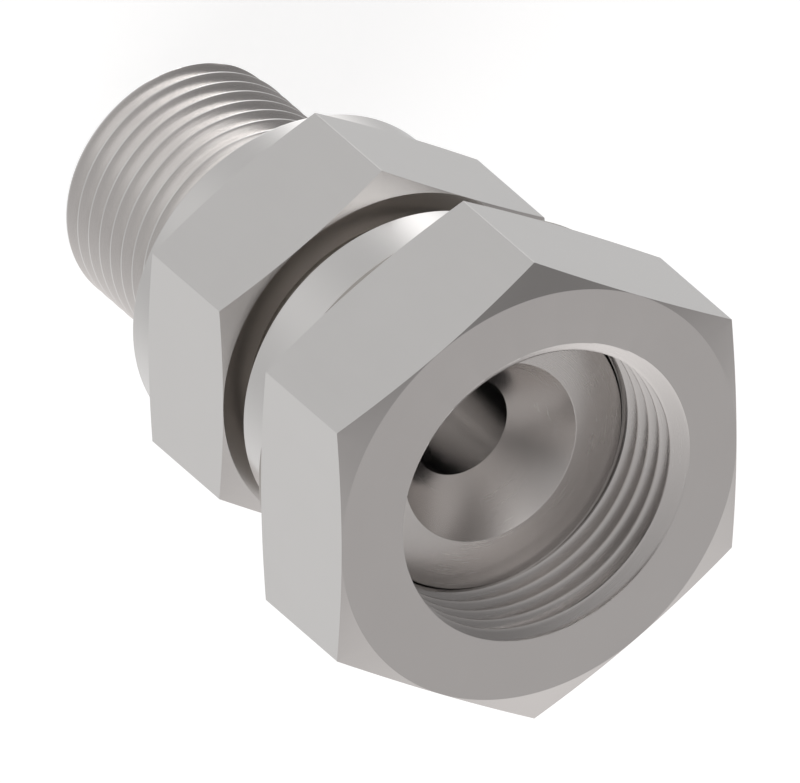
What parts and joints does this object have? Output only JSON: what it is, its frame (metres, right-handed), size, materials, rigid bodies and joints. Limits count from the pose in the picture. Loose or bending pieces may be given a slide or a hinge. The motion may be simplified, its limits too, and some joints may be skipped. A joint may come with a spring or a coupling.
{
  "type": "straight adapter",
  "caption": "Straight pipe adapter: male thread, hexagon body, and a captive swivel nut over a conical seat with a through bore.",
  "frame": {"origin": "centre of the male end face, which the part stands on", "axes": "+Z along the adapter's axis from the male end to the open face of the swivel nut; hexagon corners at +Y and -Y, spanner flats at +X and -X"},
  "size_m": [0.027, 0.0312, 0.0426],
  "materials": {
    "body_steel": "fine turned",
    "nut_steel": "fine turned",
    "ring_steel": "drawn wire"
  },
  "bodies": {
    "adapter_body": {"body": "body_steel"},
    "swivel": {"swivel_nut": "nut_steel", "spring_ring": "ring_steel"}
  },
  "joints": [
    {"name": "nut_swivel", "type": "hinge", "parent": "adapter_body", "child": "swivel", "pos_m": [0, 0, 0.0295], "axis": [0, 0, 1], "continuous": true}
  ]
}
